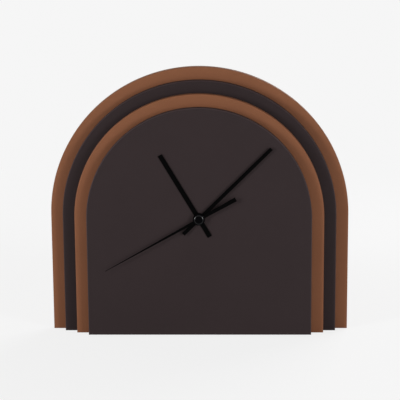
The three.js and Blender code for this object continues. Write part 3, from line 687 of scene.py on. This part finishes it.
# Materials by slot
LOOKS = {
    "paint_brown": paint("paint_brown", BROWN, BROWN_EDGE_HIGHLIGHT),
    "paint_dark": paint("paint_dark", DARK, DARK_EDGE_HIGHLIGHT),
    "hand_black": lacquer("hand_black", linear(3, 3, 3), roughness=0.5, specular=0.02),
    "cap_black": lacquer("cap_black", CAP_BLACK, roughness=0.3, specular=0.02),
    "nut_black": lacquer("nut_black", linear(14, 14, 15), roughness=0.42, specular=0.15),
    "screw_steel": metal("screw_steel", linear(190, 189, 184), roughness=0.32),
    "gasket_rubber": plastic("gasket_rubber", linear(34, 34, 34), roughness=0.85),
    "case_plastic": plastic("case_plastic", linear(42, 42, 44), roughness=0.5),
    "gear_plastic": plastic("gear_plastic", linear(228, 225, 212), roughness=0.45),
    "knob_plastic": plastic("knob_plastic", linear(172, 172, 170), roughness=0.5),
    "arbor_brass": metal("arbor_brass", linear(201, 164, 88), roughness=0.3),
    "magnet_ferrite": plastic("magnet_ferrite", linear(62, 60, 58), roughness=0.7),
    "yoke_steel": metal("yoke_steel", linear(168, 168, 172), roughness=0.35, drawn=(12, 1, 1)),
    "coil_copper": metal("coil_copper", linear(176, 104, 62), roughness=0.38, drawn=(0.4, 40, 40)),
    "board_green": plastic("board_green", linear(46, 92, 52), roughness=0.38),
    "chip_epoxy": plastic("chip_epoxy", linear(24, 24, 24), roughness=0.3),
    "can_steel": metal("can_steel", linear(196, 196, 198), roughness=0.25, drawn=(1, 1, 12)),
    "cell_jacket": foil("cell_jacket", linear(58, 76, 96), band=linear(196, 198, 200)),
    "contact_nickel": metal("contact_nickel", linear(205, 200, 190), roughness=0.3, drawn=(1, 1, 10)),
}

# Materials of single pieces: a darker copy of the dark paint for the second board, and the polished
# ring of the cap
DARKER_SECOND_PAINT = paint("paint_dark_second_board", DEEP, DARK_EDGE_HIGHLIGHT)
CAP_GLOSS = lacquer("cap_gloss", CAP_BLACK, roughness=0.2, specular=0.22)


# The screw from its head at the back to its tip, or its hole when grown by a gap.
def screw_profile(low, high, grown, back):
    head = (high.x - low.x) / 2 + grown
    shank = SCREW_RADIUS + grown
    cone = high.y - SCREW_RIM
    return [
        (head, back),
        (head, cone),
        (shank, cone - SCREW_HEAD_HEIGHT),
        (shank, low.y + SCREW_TIP),
        (SCREW_TIP_RADIUS, low.y - grown),
    ]


def screw_holes():
    bodies = []
    for node in SCREWS:
        low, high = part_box(node)
        profile = screw_profile(low, high, SCREW_GAP, high.y + CUT_REACH)
        bodies.append(turned(profile, (low + high) / 2, ROD_STEPS))
    return bodies


# Opening for the movement, chamfered in the back face of the rear board.
def window_tool():
    low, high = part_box("movement_case")
    rear_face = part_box("rear_panel")[1].y
    gap = WINDOW_GAP
    outline = rounded_rectangle(low.x - gap, low.z - gap, high.x + gap, high.z + gap, WINDOW_CORNER)
    return stacked(outline, [
        (0, rear_face - CUT_REACH),
        (0, rear_face - WINDOW_CHAMFER),
        (-WINDOW_CHAMFER, rear_face),
        (-WINDOW_CHAMFER, rear_face + CUT_REACH),
    ])


# Marks the points that lie in the eased edges of a board, where the paint gets its painted highlight.
def mark_highlight_edges(piece, radius, centre_height, front, back):
    inside = EDGE_ROUND - EDGE_MARGIN
    values = []
    for vertex in piece.data.vertices:
        x, y, z = vertex.co
        reach = math.hypot(x, z - centre_height) if z > centre_height else abs(x)
        margin = min(radius - reach, z)
        depth = min(y - front, back - y)
        values.append(1.0 if TINY < margin < inside and TINY < depth < inside else 0.0)
    layer = piece.data.attributes.new(HIGHLIGHT_EDGE_MARK, "FLOAT", "POINT")
    layer.data.foreach_set("value", values)


# An arched board with eased edges, its screw holes and its opening.
def board(name, node, look=None):
    low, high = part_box(node)
    radius = high.x
    centre_height = high.z - radius
    body = prism(arch(radius, centre_height), low.y, high.y, EDGE_ROUND, EDGE_ROUND)
    piece = new_object(name, body)
    if node == "front_panel":
        washer_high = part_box("shaft_washer")[1]
        seat_radius = washer_high.x - SHAFT.x + NUT_SEAT_GAP
        hole = [(SHAFT_HOLE_RADIUS, low.y - CUT_REACH), (SHAFT_HOLE_RADIUS, high.y + CUT_REACH)]
        seat = [(seat_radius, low.y - CUT_REACH), (seat_radius, washer_high.y)]
        cut(piece, turned(hole), turned(seat), *screw_holes())
    else:
        cut(piece, window_tool(), *screw_holes())
    mark_highlight_edges(piece, radius, centre_height, low.y, high.y)
    dress(piece, SLOTS[node], "clock", node, look=look)


# The second board gets a darker copy of the dark paint than the dial.
def boards():
    board("rear_board", "rear_panel")
    board("second_board", "second_panel", DARKER_SECOND_PAINT)
    board("third_board", "third_panel")
    board("dial_board", "front_panel")


# Countersunk screws with a cross recess.
def screws():
    for i, node in enumerate(SCREWS):
        low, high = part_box(node)
        middle = (low + high) / 2
        profile = rounded_profile(screw_profile(low, high, 0, high.y), SCREW_ROUND)
        piece = new_object(f"board_screw_{i + 1}", turned(profile, middle, SCREW_STEPS))
        tools = []
        for length, width in ((CROSS_LENGTH, CROSS_WIDTH), (CROSS_WIDTH, CROSS_LENGTH)):
            left, right = middle.x - length / 2, middle.x + length / 2
            bottom, top = middle.z - width / 2, middle.z + width / 2
            bar = rounded_rectangle(left, bottom, right, top, CROSS_CORNER, SMALL_STEPS)
            tools.append(prism(bar, high.y - CROSS_DEPTH, high.y + CUT_REACH))
        cut(piece, *tools)
        soften(piece, CROSS_EASE)
        dress(piece, SLOTS[node], "clock", node)


# Turns an upright outline, u across and v up, clockwise to an angle about the shaft.
def at_angle(points, angle):
    turn = math.radians(angle)
    c, s = math.cos(turn), math.sin(turn)
    return [Vector((SHAFT.x + u * c + v * s, SHAFT.z - u * s + v * c)) for u, v in points]


# A flat hand with a round boss, bored for what carries it.
def hand(name, body, outline, angle, thickness, boss, bore):
    node = f"{body}_hand"
    low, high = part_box(node)
    points = at_angle(outline, angle)
    blade = prism(points, low.y, low.y + thickness, HAND_EASE, HAND_EASE, SMALL_STEPS)
    piece = new_object(name, blade)
    rim = [
        (boss - HAND_EASE, low.y),
        (boss, low.y + HAND_EASE),
        (boss, high.y - HAND_EASE),
        (boss - HAND_EASE, high.y),
    ]
    join(piece, turned(rim))
    cut(piece, turned([(bore, low.y - CUT_REACH), (bore, high.y + CUT_REACH)]))
    dress(piece, SLOTS[node], body, node)


def bar_outline(width, length, tail):
    half = width / 2
    return [(-half, -tail), (half, -tail), (half, length), (-half, length)]


def second_outline():
    tail, hub, tip = SECOND_TAIL_WIDTH / 2, SECOND_HUB_WIDTH / 2, SECOND_TIP_WIDTH / 2
    right = [(tail, -SECOND_TAIL), (hub, 0), (tip, SECOND_LENGTH)]
    return [(-tail, -SECOND_TAIL), *right, (-tip, SECOND_LENGTH), (-hub, 0)]


def hands():
    hour = bar_outline(HOUR_WIDTH, HOUR_LENGTH, HOUR_TAIL)
    hand("hour_blade", "hour", hour, HOUR_ANGLE, HAND_THICKNESS, HOUR_BOSS, HOUR_BORE)
    minute = bar_outline(MINUTE_WIDTH, MINUTE_LENGTH, MINUTE_TAIL)
    hand("minute_blade", "minute", minute, MINUTE_ANGLE, HAND_THICKNESS, MINUTE_BOSS, MINUTE_BORE)
    second = second_outline()
    hand("second_blade", "second", second, SECOND_ANGLE, SECOND_THICKNESS, SECOND_BOSS, SECOND_BORE)


# Satin cap on a thin flange, with a bevelled and polished ring round it.
def hub_cap():
    low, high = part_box("hub_cap")
    flange = high.x - SHAFT.x
    shelf = high.y - CAP_FLANGE_THICKNESS
    top = CAP_RADIUS - CAP_BEVEL_WIDTH
    profile = rounded_profile([
        (top / 2, low.y),
        (top, low.y),
        (top, shelf),
        (flange, shelf),
        (flange, high.y),
        (flange / 2, high.y),
    ], CAP_ROUND)
    piece = new_object("shaft_cap", turned(profile, SHAFT, CAP_STEPS))
    dress(piece, "cap_black", "second", "hub_cap")
    inner = top + CAP_RING_GAP
    ring = [(CAP_RADIUS, low.y + CAP_BEVEL_DEPTH), (CAP_RADIUS, shelf), (inner, shelf), (inner, low.y)]
    profile = rounded_loop(ring, CAP_RING_ROUND)
    bevel = new_object("cap_bevel", turned(profile, SHAFT, CAP_STEPS, ring=True))
    dress(bevel, "cap_black", "second", look=CAP_GLOSS)


# A ring round the shaft, of rectangular section with rounded edges, that fills a box.
def ring_body(low, high, bore, rounding):
    outer = high.x - SHAFT.x
    corners = [(outer, low.y), (outer, high.y), (bore, high.y), (bore, low.y)]
    return turned(rounded_loop(corners, rounding), ring=True)


# Round nut with two slots for a pin spanner, on a flat washer.
def nut_and_washer():
    low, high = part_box("shaft_nut")
    nut = new_object("spanner_nut", ring_body(low, high, NUT_BORE, NUT_ROUND))
    half = NUT_SLOT_WIDTH / 2
    slot = rectangle(low.x - CUT_REACH, SHAFT.z - half, high.x + CUT_REACH, SHAFT.z + half)
    cut(nut, prism(slot, low.y - CUT_REACH, low.y + NUT_SLOT_DEPTH))
    dress(nut, "nut_black", "clock", "shaft_nut")
    low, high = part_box("shaft_washer")
    washer = new_object("flat_washer", ring_body(low, high, NUT_BORE, WASHER_ROUND))
    dress(washer, "nut_black", "clock", "shaft_washer")


def block(left, bottom, right, top, front, back):
    return prism(rectangle(left, bottom, right, top), front, back)


def rod(radius, front, back, place, steps=ROD_STEPS):
    return turned([(radius, front), (radius, back)], place, steps)


# Corner posts that carry the gear plate, each with a pin that goes into it.
def case_posts(left, bottom, right, top, root):
    plate_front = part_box("gear_plate")[0].y
    bodies = []
    for x in (left + POST_INSET, right - POST_INSET):
        for z in (bottom + POST_INSET, top - POST_INSET):
            place = Vector((x, 0, z))
            bodies.append(rod(POST_RADIUS, root, plate_front, place))
            bodies.append(rod(PIN_RADIUS, root, plate_front + PIVOT_DEPTH, place))
    return bodies


# Shell of the movement with the bush, the corner posts and the battery bay.
def movement_case():
    low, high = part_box("movement_case")
    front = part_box("movement_gasket")[1].y
    root = front + CASE_WALL / 2
    floor_face = front + CASE_WALL
    cover_seat = high.y - CASE_WALL
    beyond = high.y + CUT_REACH
    left, right = low.x + CASE_WALL, high.x - CASE_WALL
    bottom, top = low.z + CASE_WALL, high.z - CASE_WALL
    bay_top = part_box("movement_cover")[0].z - RUNNING_GAP
    wall_top = bay_top + CASE_WALL
    outline = rounded_rectangle(low.x, low.z, high.x, high.z, CASE_CORNER)
    piece = new_object("case_shell", prism(outline, front, high.y, CASE_EASE, CASE_EASE))
    cut(
        piece,
        block(left, wall_top, right, top, floor_face, beyond),
        block(left, bottom, right, bay_top, floor_face, beyond),
        block(low.x - CUT_REACH, bay_top, high.x + CUT_REACH, high.z + CUT_REACH, cover_seat, beyond),
    )
    bush = rod(BUSH_RADIUS, low.y, root, SHAFT, ROUND_STEPS)
    posts = case_posts(left, wall_top, right, top, root)
    join(piece, bush, *posts, *cradles(floor_face, bottom, bay_top))
    bore = rod(BUSH_BORE, low.y - CUT_REACH, beyond, SHAFT, ROUND_STEPS)
    third = rod(PIVOT_HOLE, floor_face - PIVOT_DEPTH, floor_face + PIVOT_DEPTH, THIRD)
    knob = rod(KNOB_ARBOR_HOLE, floor_face - PIVOT_DEPTH, floor_face + PIVOT_DEPTH, KNOB)
    cut(piece, bore, third, knob)
    dress(piece, "case_plastic", "clock", "movement_case")


# Saddles in the bay that the cell lies in.
def cradles(floor_face, bottom, top):
    low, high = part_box("battery_cell")
    middle = (low + high) / 2
    radius = (high.z - low.z) / 2 + CRADLE_GAP
    sunk = DETAIL_SINK
    reach = math.asin(min(1.0, (middle.z - bottom) / radius))
    curve = arc((middle.y, middle.z), radius, math.pi + reach, math.pi - reach, CRADLE_STEPS)
    section = [(floor_face - sunk, bottom - sunk), *curve, (floor_face - sunk, top + sunk)]
    bodies = []
    for x in (-CRADLE_SPREAD, CRADLE_SPREAD):
        faces = (x - CRADLE_THICKNESS / 2, x + CRADLE_THICKNESS / 2)
        bodies.append(loft([[(face, y, z) for y, z in section] for face in faces]))
    return bodies


# A curved arrow round the knob, in the plane of the cover.
def arrow_outline():
    start, end = math.radians(ARROW_START), math.radians(ARROW_END)
    head = ARROW_HEAD / ARROW_RADIUS
    middle = (KNOB.x, KNOB.z)
    outer = arc(middle, ARROW_RADIUS + ARROW_WIDTH / 2, start, end, ARROW_STEPS)
    inner = arc(middle, ARROW_RADIUS - ARROW_WIDTH / 2, end, start, ARROW_STEPS)
    points = []
    for reach, turn in ((ARROW_BARB, end), (0, end + head), (-ARROW_BARB, end)):
        radius = ARROW_RADIUS + reach
        points.append(Vector(middle) + radius * Vector((math.cos(turn), math.sin(turn))))
    return outer + points + inner


# The cover's outline: square corners below and round ones above.
def cover_outline(low, high):
    corner = CASE_CORNER
    foot = [Vector((low.x, low.z)), Vector((high.x, low.z))]
    right = arc((high.x - corner, high.z - corner), corner, 0, QUARTER, CORNER_STEPS)
    left = arc((low.x + corner, high.z - corner), corner, QUARTER, math.pi, CORNER_STEPS)
    return foot + right + left


# What stands on the cover: the rim of the knob's well, the arrow and a dimpled pad over each bearing.
def raised_detail(face, well):
    base = face - DETAIL_SINK
    raised = face + DETAIL_HEIGHT
    rim = [
        (well + WELL_RIM_WIDTH, base),
        (well + WELL_RIM_WIDTH, face + WELL_RIM_HEIGHT / 2),
        (well + WELL_RIM_WIDTH / 2, face + WELL_RIM_HEIGHT),
    ]
    pad = [
        (PAD_RADIUS, base),
        (PAD_RADIUS, raised - PAD_CHAMFER),
        (PAD_RADIUS - PAD_CHAMFER, raised),
        (PAD_DIMPLE_RADIUS, raised),
        (PAD_DIMPLE_FLOOR, face),
    ]
    arrow = prism(arrow_outline(), base, raised, 0, DETAIL_EASE, SMALL_STEPS)
    return [turned(rim, KNOB), arrow] + [turned(pad, place, PAD_STEPS) for place in BEARINGS]


# Holes in the inside of the cover that the arbors turn in.
def bearing_holes(inside):
    bodies = []
    for place in BEARINGS:
        radius = ARBOR_HOLE if place == SHAFT else PIVOT_HOLE
        bodies.append(rod(radius, inside - CUT_REACH, inside + PIVOT_DEPTH, place))
    return bodies


# Shallow bare panel sunk in the back of the cover.
def sunk_panel(low, high):
    right = PANEL_LEFT + PANEL_WIDTH
    bottom = low.z + PANEL_RISE
    outline = rounded_rectangle(PANEL_LEFT, bottom, right, bottom + PANEL_HEIGHT, PANEL_CORNER)
    return prism(outline, high.y - PANEL_SINK, high.y + CUT_REACH)


# Rear cover: a plate with the knob's well, raised and sunk detail, and the holes of the arbors.
def movement_cover():
    low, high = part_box("movement_cover")
    knob_low, knob_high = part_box("setting_knob")
    well = (knob_high.x - knob_low.x) / 2 + WELL_GAP
    inside = high.y - CASE_WALL
    piece = new_object("cover_plate", prism(cover_outline(low, high), inside, high.y, 0, COVER_EASE))
    cup = rod(well + CASE_WALL, low.y, inside + DETAIL_SINK, KNOB, ROUND_STEPS)
    join(piece, cup, *raised_detail(high.y, well))
    hollow = rod(well, knob_low.y - RUNNING_GAP, high.y + CUT_REACH, KNOB, ROUND_STEPS)
    knob_hole = rod(KNOB_ARBOR_HOLE, low.y - CUT_REACH, high.y, KNOB)
    panel = sunk_panel(low, high)
    cut(piece, hollow, knob_hole, *bearing_holes(inside), panel, *latch_recesses(low, high))
    dress(piece, "case_plastic", "clock", "movement_cover")


# Recesses in the cover's edge where the case's latches hold it.
def latch_recesses(low, high):
    half = LATCH_WIDTH / 2
    sunk = high.y - LATCH_SINK
    beyond = high.y + CUT_REACH
    middle = (low.z + high.z) / 2
    bodies = []
    for x in (-LATCH_SPREAD, LATCH_SPREAD):
        bodies.append(block(x - half, high.z - LATCH_DEPTH, x + half, high.z + CUT_REACH, sunk, beyond))
    sides = ((low.x - CUT_REACH, low.x + LATCH_DEPTH), (high.x - LATCH_DEPTH, high.x + CUT_REACH))
    for start, end in sides:
        bodies.append(block(start, middle - half, end, middle + half, sunk, beyond))
    return bodies


# Knob with a wavy rim, a dished face and a bore for its arbor.
def setting_knob():
    low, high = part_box("setting_knob")
    radius = high.x - KNOB.x
    # Stations of the body: radius, share of the ribs' depth, and place along the axis.
    stations = [
        (radius - KNOB_EASE / 2, 1, low.y),
        (radius, 1, low.y + KNOB_EASE / 2),
        (radius, 1, high.y - KNOB_EASE),
        (radius - KNOB_SHOULDER, 1, high.y - KNOB_SHOULDER),
        (radius - KNOB_EASE, KNOB_RIB_TOP, high.y),
        (KNOB_LIP_RADIUS, 0, high.y),
        (KNOB_DISH_RADIUS, 0, high.y - KNOB_DISH_DEPTH),
        (KNOB_BUTTON_FOOT, 0, high.y - KNOB_BUTTON_FOOT_DEPTH),
        (KNOB_BUTTON_RADIUS, 0, high.y - KNOB_BUTTON_DEPTH),
        (KNOB_MIDDLE_RADIUS, 0, high.y - KNOB_MIDDLE_DEPTH),
    ]
    loops = []
    for size, ribbed, depth in stations:
        loop = []
        for t in full_turn(KNOB_RIBS * KNOB_RIB_STEPS):
            wave = (1 - math.cos(KNOB_RIBS * t)) / 2
            r = size - ribbed * KNOB_RIB_DEPTH * wave ** KNOB_RIB_POWER
            loop.append((KNOB.x + r * math.cos(t), depth, KNOB.z + r * math.sin(t)))
        loops.append(loop)
    piece = new_object("time_knob", loft(loops))
    cut(piece, rod(KNOB_BORE, low.y - CUT_REACH, high.y - KNOB_END, KNOB))
    dress(piece, "knob_plastic", "transfer", "setting_knob")


# Cell with a plain sleeve rolled over its metal ends.
def battery():
    low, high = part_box("battery_cell")
    middle = (low + high) / 2
    radius = (high.z - low.z) / 2
    shoulder = high.x - NUB_LENGTH
    inner = radius - BATTERY_LIP
    sleeve = [
        (inner, low.x + BATTERY_LIP_DEPTH),
        (inner, low.x),
        (radius, low.x),
        (radius, shoulder),
        (inner, shoulder),
        (inner, shoulder - BATTERY_LIP_DEPTH),
    ]
    body = turned_across(rounded_profile(sleeve, BATTERY_ROLL, ROLL_STEPS), middle)
    dress(new_object("cell_sleeve", body), "cell_jacket", "battery", "battery_cell")
    base = [
        (BATTERY_END_RADIUS, low.x + BATTERY_END_DEPTH),
        (BATTERY_END_RADIUS, low.x + BASE_EDGE_DEPTH),
        (BASE_RIM_RADIUS, low.x + BASE_RIM_DEPTH),
        (BASE_DISH_RADIUS, low.x + BASE_DISH_DEPTH),
        (END_MIDDLE_RADIUS, low.x + BASE_MIDDLE_DEPTH),
    ]
    dress(new_object("cell_base", turned_across(base, middle)), "can_steel", "battery")
    top = [
        (BATTERY_END_RADIUS, shoulder - BATTERY_END_DEPTH),
        (BATTERY_END_RADIUS, shoulder - TOP_EDGE_DEPTH),
        (NUB_FOOT_RADIUS, shoulder - NUB_FOOT_DEPTH),
        (NUB_RADIUS, shoulder),
        (NUB_RADIUS, high.x),
        (END_MIDDLE_RADIUS, high.x),
    ]
    nub = turned_across(rounded_profile(top, NUB_ROUND), middle)
    dress(new_object("cell_nub", nub), "can_steel", "battery")


# The CAD contacts with their edges eased.
def contacts():
    for name, node in (("contact_plate", "positive_contact"), ("contact_spring", "negative_contact")):
        bm = bmesh.new()
        bm.from_mesh(frame["nodes"][node].data)
        bmesh.ops.remove_doubles(bm, verts=bm.verts, dist=WELD_GAP)
        piece = new_object(name, bm)
        soften(piece, CONTACT_EASE, angle=CONTACT_ANGLE)
        dress(piece, "contact_nickel", "clock", node)


# Every CAD node gets the material of its slot, which shows where no piece replaces the node.
def dress_cad():
    for node, piece in frame["nodes"].items():
        piece.data.materials.clear()
        piece.data.materials.append(LOOKS[SLOTS[node]])


# Camera in front of the clock, a little to its right, that looks down on it.
def camera():
    data = bpy.data.cameras.new("camera")
    data.lens = CAMERA_LENS
    data.sensor_width = CAMERA_SENSOR
    data.clip_start = CAMERA_NEAR
    data.clip_end = CAMERA_FAR
    eye = bpy.data.objects.new("camera", data)
    bpy.context.scene.collection.objects.link(eye)
    rear_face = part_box("rear_panel")[0].y
    place = Matrix.Translation((CAMERA_RIGHT, rear_face - CAMERA_AHEAD, CAMERA_HEIGHT))
    heading = Matrix.Rotation(math.radians(CAMERA_HEADING), 4, "Z")
    tilt = Matrix.Rotation(math.radians(90 - CAMERA_PITCH), 4, "X")
    roll = Matrix.Rotation(math.radians(CAMERA_ROLL), 4, "Z")
    eye.matrix_world = place @ heading @ tilt @ roll
    bpy.context.scene.camera = eye


# A lamp that faces the shaft, from degrees to the right of the front and degrees up.
def lamp(name, azimuth, elevation, width, height, radiance):
    data = bpy.data.lights.new(name, "AREA")
    data.shape = "RECTANGLE"
    data.size = width
    data.size_y = height
    data.energy = radiance * math.pi * width * height
    light = bpy.data.objects.new(name, data)
    light.visible_camera = False
    bpy.context.scene.collection.objects.link(light)
    right, up = math.radians(azimuth), math.radians(elevation)
    away = Vector((math.cos(up) * math.sin(right), -math.cos(up) * math.cos(right), math.sin(up)))
    turn = (-away).to_track_quat("-Z", "Y").to_matrix().to_4x4()
    light.matrix_world = Matrix.Translation(SHAFT + away * LAMP_DISTANCE) @ turn


def lights():
    for row in LAMPS:
        lamp(*row)


# Factor that is 1 for what the camera, mirrors and glass see of the background.
def seen_directly(nodes, links):
    path = nodes.new("ShaderNodeLightPath")
    total = path.outputs["Is Camera Ray"]
    for name in ("Is Glossy Ray", "Is Transmission Ray"):
        both = nodes.new("ShaderNodeMath")
        both.operation = "MAXIMUM"
        links.new(total, both.inputs[0])
        links.new(path.outputs[name], both.inputs[1])
        total = both.outputs["Value"]
    return total


# Even fill light, and a pale backdrop for what is seen directly.
def world():
    sky = bpy.data.worlds.new("studio")
    sky.use_nodes = True
    nodes, links = sky.node_tree.nodes, sky.node_tree.links
    fill = nodes["Background"]
    fill.inputs["Color"].default_value = (1, 1, 1, 1)
    fill.inputs["Strength"].default_value = FILL
    backdrop = nodes.new("ShaderNodeBackground")
    backdrop.inputs["Color"].default_value = (PALE, PALE, PALE, 1)
    mix = nodes.new("ShaderNodeMixShader")
    links.new(seen_directly(nodes, links), mix.inputs["Fac"])
    links.new(fill.outputs["Background"], mix.inputs[1])
    links.new(backdrop.outputs["Background"], mix.inputs[2])
    links.new(mix.outputs["Shader"], nodes["World Output"].inputs["Surface"])
    bpy.context.scene.world = sky


# A value that goes from one near the object to another far away on the floor.
def over_distance(nodes, links, near, far):
    place = nodes.new("ShaderNodeTexCoord")
    length = nodes.new("ShaderNodeVectorMath")
    length.operation = "LENGTH"
    ramp = nodes.new("ShaderNodeMapRange")
    ramp.interpolation_type = "SMOOTHSTEP"
    ramp.inputs["From Min"].default_value = FLOOR_NEAR
    ramp.inputs["From Max"].default_value = FLOOR_FAR
    ramp.inputs["To Min"].default_value = near
    ramp.inputs["To Max"].default_value = far
    links.new(place.outputs["Object"], length.inputs[0])
    links.new(length.outputs["Value"], ramp.inputs["Value"])
    return ramp.outputs["Result"]


# Pale floor: what is seen of it glows evenly, but near the object part of it keeps the shadow.
def floor():
    bm = bmesh.new()
    corners = rectangle(-FLOOR_HALF, -FLOOR_HALF, FLOOR_HALF, FLOOR_HALF)
    bm.faces.new([bm.verts.new((p.x, p.y, -FLOOR_DROP)) for p in corners])
    plane = new_object("floor", bm)
    material = bpy.data.materials.new("floor")
    material.use_nodes = True
    nodes, links = material.node_tree.nodes, material.node_tree.links
    paper = nodes["Principled BSDF"]
    paper.inputs["Base Color"].default_value = (PALE, PALE, PALE, 1)
    paper.inputs["Roughness"].default_value = FLOOR_ROUGHNESS
    paper.inputs["Specular IOR Level"].default_value = 0
    glow = nodes.new("ShaderNodeEmission")
    links.new(over_distance(nodes, links, 1.0, PALE), glow.inputs["Strength"])
    share = nodes.new("ShaderNodeMath")
    share.operation = "MULTIPLY"
    links.new(over_distance(nodes, links, FLOOR_GLOW, 1.0), share.inputs[0])
    links.new(seen_directly(nodes, links), share.inputs[1])
    mix = nodes.new("ShaderNodeMixShader")
    links.new(share.outputs["Value"], mix.inputs["Fac"])
    links.new(paper.outputs["BSDF"], mix.inputs[1])
    links.new(glow.outputs["Emission"], mix.inputs[2])
    links.new(mix.outputs["Shader"], nodes["Material Output"].inputs["Surface"])
    plane.data.materials.append(material)


dress_cad()
boards()
screws()
hands()
hub_cap()
nut_and_washer()
movement_case()
movement_cover()
setting_knob()
battery()
contacts()
camera()
lights()
world()
floor()
bpy.context.scene.view_settings.view_transform = "Standard"
